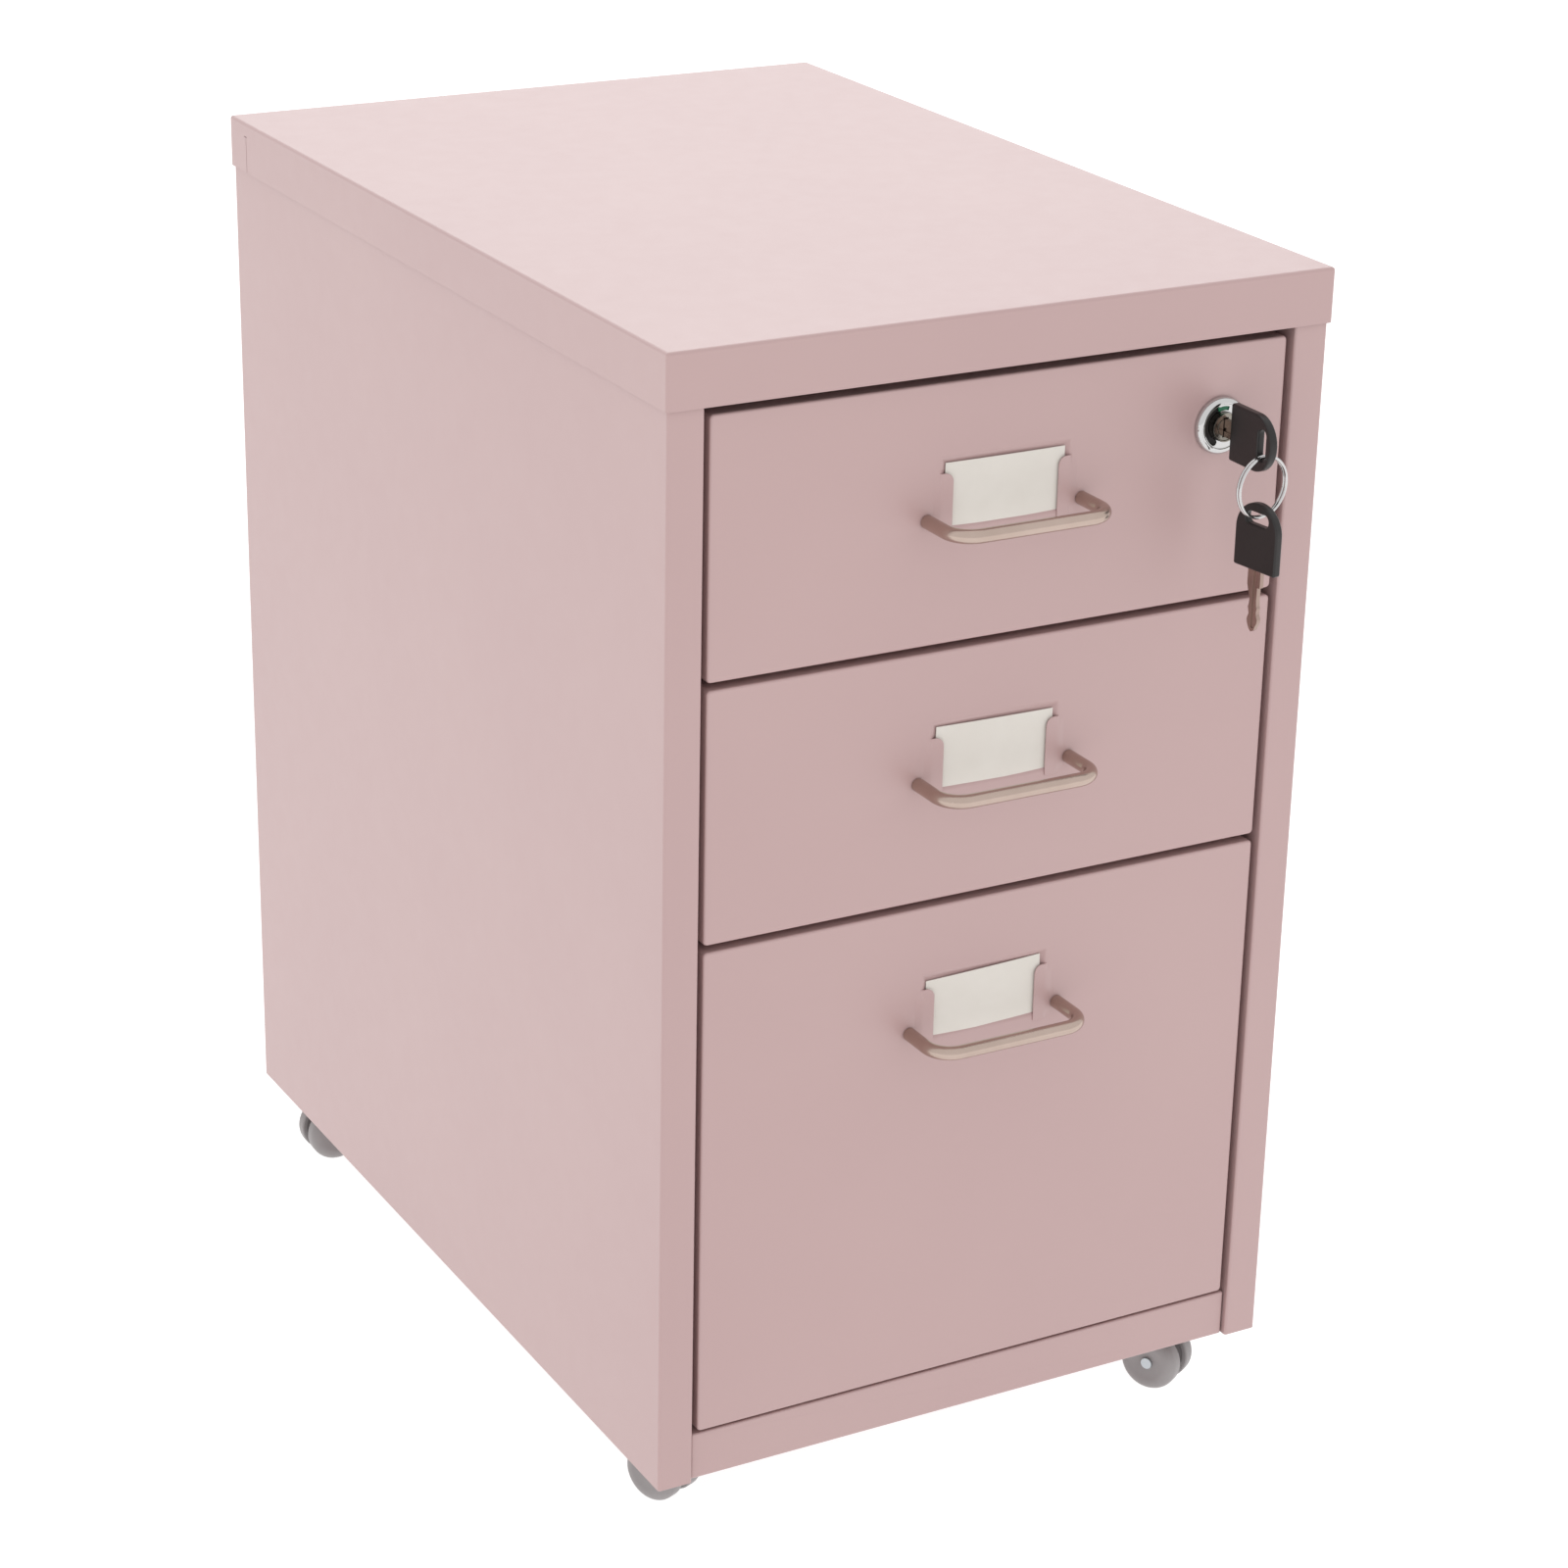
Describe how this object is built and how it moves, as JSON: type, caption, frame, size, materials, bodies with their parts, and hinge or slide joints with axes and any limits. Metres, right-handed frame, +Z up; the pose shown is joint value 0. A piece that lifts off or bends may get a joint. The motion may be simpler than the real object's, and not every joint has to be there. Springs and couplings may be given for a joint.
{
  "type": "metal filing cabinet",
  "caption": "Low sheet-metal drawer unit on castors with shallow drawers over a deep one, wire handles, card pockets and a key lock in the top drawer.",
  "frame": {"origin": "on the floor under the middle of the whole footprint, keys and handles counted", "axes": "+Z up, -Y out of the drawer fronts, +X to the right of a person who faces the drawers"},
  "size_m": [0.28, 0.4448, 0.486],
  "materials": {
    "paint": "satin powder coat, dusty pink",
    "zinc": "zinc plated",
    "nickel": "satin nickel, warm",
    "chrome": "bright chrome",
    "card": "matt white card",
    "black_plastic": "fine matt texture, black",
    "grey_plastic": "moulded grey plastic",
    "key_metal": "nickel-plated brass, cut edges"
  },
  "bodies": {
    "carcass": {"top_cover": "paint", "left_side_panel": "paint", "right_side_panel": "paint", "back_panel": "paint", "bottom_panel": "paint", "base_rail": "paint", "upper_front_rail": "paint", "runner_1_left": "zinc", "runner_1_right": "zinc", "runner_2_left": "zinc", "runner_2_right": "zinc", "runner_3_left": "zinc", "runner_3_right": "zinc", "castor_front_left_stem": "zinc", "castor_front_right_stem": "zinc", "castor_rear_left_stem": "zinc", "castor_rear_right_stem": "zinc"},
    "drawer_1": {"drawer_1_front": "paint", "drawer_1_box": "paint", "drawer_1_card": "card", "drawer_1_handle": "nickel", "drawer_1_screw_left": "zinc", "drawer_1_screw_right": "zinc", "lock_housing": "chrome", "lock_nut": "zinc"},
    "drawer_2": {"drawer_2_front": "paint", "drawer_2_box": "paint", "drawer_2_card": "card", "drawer_2_handle": "nickel", "drawer_2_screw_left": "zinc", "drawer_2_screw_right": "zinc"},
    "drawer_3": {"drawer_3_front": "paint", "drawer_3_box": "paint", "drawer_3_card": "card", "drawer_3_handle": "nickel", "drawer_3_screw_left": "zinc", "drawer_3_screw_right": "zinc"},
    "lock_core": {"lock_plug": "chrome", "lock_cam": "zinc"},
    "key_1": {"key_1_head": "black_plastic", "key_1_blade": "key_metal"},
    "ring": {"key_ring": "chrome"},
    "key_2": {"key_2_head": "black_plastic", "key_2_blade": "key_metal"},
    "castor_front_left": {"castor_front_left_bracket": "zinc", "castor_front_left_axle": "zinc"},
    "wheel_front_left_a": {"castor_front_left_wheel_a": "grey_plastic"},
    "wheel_front_left_b": {"castor_front_left_wheel_b": "grey_plastic"},
    "castor_front_right": {"castor_front_right_bracket": "zinc", "castor_front_right_axle": "zinc"},
    "wheel_front_right_a": {"castor_front_right_wheel_a": "grey_plastic"},
    "wheel_front_right_b": {"castor_front_right_wheel_b": "grey_plastic"},
    "castor_rear_left": {"castor_rear_left_bracket": "zinc", "castor_rear_left_axle": "zinc"},
    "wheel_rear_left_a": {"castor_rear_left_wheel_a": "grey_plastic"},
    "wheel_rear_left_b": {"castor_rear_left_wheel_b": "grey_plastic"},
    "castor_rear_right": {"castor_rear_right_bracket": "zinc", "castor_rear_right_axle": "zinc"},
    "wheel_rear_right_a": {"castor_rear_right_wheel_a": "grey_plastic"},
    "wheel_rear_right_b": {"castor_rear_right_wheel_b": "grey_plastic"}
  },
  "joints": [
    {"name": "drawer_1_slide", "type": "slide", "parent": "carcass", "child": "drawer_1", "axis": [0, -1, 0], "range_m": [0, 0.28]},
    {"name": "drawer_2_slide", "type": "slide", "parent": "carcass", "child": "drawer_2", "axis": [0, -1, 0], "range_m": [0, 0.28]},
    {"name": "drawer_3_slide", "type": "slide", "parent": "carcass", "child": "drawer_3", "axis": [0, -1, 0], "range_m": [0, 0.28]},
    {"name": "lock_turn", "type": "hinge", "parent": "drawer_1", "child": "lock_core", "pos_m": [0.093, -0.18199, 0.4304], "axis": [0, 1, 0], "range_deg": [0, 90]},
    {"name": "key_1_pull", "type": "slide", "parent": "lock_core", "child": "key_1", "axis": [0, -1, 0], "range_m": [0, 0.03]},
    {"name": "ring_turn", "type": "hinge", "parent": "key_1", "child": "ring", "pos_m": [0.093, -0.21129, 0.4145], "axis": [-0.1392, 0.9903, 0], "range_deg": [-90, 45]},
    {"name": "key_2_swing", "type": "hinge", "parent": "ring", "child": "key_2", "pos_m": [0.093, -0.21129, 0.4033], "axis": [0.9903, 0.1392, 0], "range_deg": [-60, 15]},
    {"name": "castor_front_left_swivel", "type": "hinge", "parent": "carcass", "child": "castor_front_left", "pos_m": [-0.108, -0.14408, 0.035], "axis": [0, 0, 1], "continuous": true},
    {"name": "wheel_front_left_a_roll", "type": "hinge", "parent": "castor_front_left", "child": "wheel_front_left_a", "pos_m": [-0.11156, -0.13528, 0.0125], "axis": [-0.9272, -0.3746, 0], "continuous": true},
    {"name": "wheel_front_left_b_roll", "type": "hinge", "parent": "castor_front_left", "child": "wheel_front_left_b", "pos_m": [-0.11156, -0.13528, 0.0125], "axis": [-0.9272, -0.3746, 0], "continuous": true},
    {"name": "castor_front_right_swivel", "type": "hinge", "parent": "carcass", "child": "castor_front_right", "pos_m": [0.108, -0.14408, 0.035], "axis": [0, 0, 1], "continuous": true},
    {"name": "wheel_front_right_a_roll", "type": "hinge", "parent": "castor_front_right", "child": "wheel_front_right_a", "pos_m": [0.11275, -0.15231, 0.0125], "axis": [0.866, 0.5, 0], "continuous": true},
    {"name": "wheel_front_right_b_roll", "type": "hinge", "parent": "castor_front_right", "child": "wheel_front_right_b", "pos_m": [0.11275, -0.15231, 0.0125], "axis": [0.866, 0.5, 0], "continuous": true},
    {"name": "castor_rear_left_swivel", "type": "hinge", "parent": "carcass", "child": "castor_rear_left", "pos_m": [-0.108, 0.19592, 0.035], "axis": [0, 0, 1], "continuous": true},
    {"name": "wheel_rear_left_a_roll", "type": "hinge", "parent": "castor_rear_left", "child": "wheel_rear_left_a", "pos_m": [-0.1175, 0.19592, 0.0125], "axis": [0, -1, 0], "continuous": true},
    {"name": "wheel_rear_left_b_roll", "type": "hinge", "parent": "castor_rear_left", "child": "wheel_rear_left_b", "pos_m": [-0.1175, 0.19592, 0.0125], "axis": [0, -1, 0], "continuous": true},
    {"name": "castor_rear_right_swivel", "type": "hinge", "parent": "carcass", "child": "castor_rear_right", "pos_m": [0.108, 0.19592, 0.035], "axis": [0, 0, 1], "continuous": true},
    {"name": "wheel_rear_right_a_roll", "type": "hinge", "parent": "castor_rear_right", "child": "wheel_rear_right_a", "pos_m": [0.1175, 0.19592, 0.0125], "axis": [0, 1, 0], "continuous": true},
    {"name": "wheel_rear_right_b_roll", "type": "hinge", "parent": "castor_rear_right", "child": "wheel_rear_right_b", "pos_m": [0.1175, 0.19592, 0.0125], "axis": [0, 1, 0], "continuous": true}
  ]
}
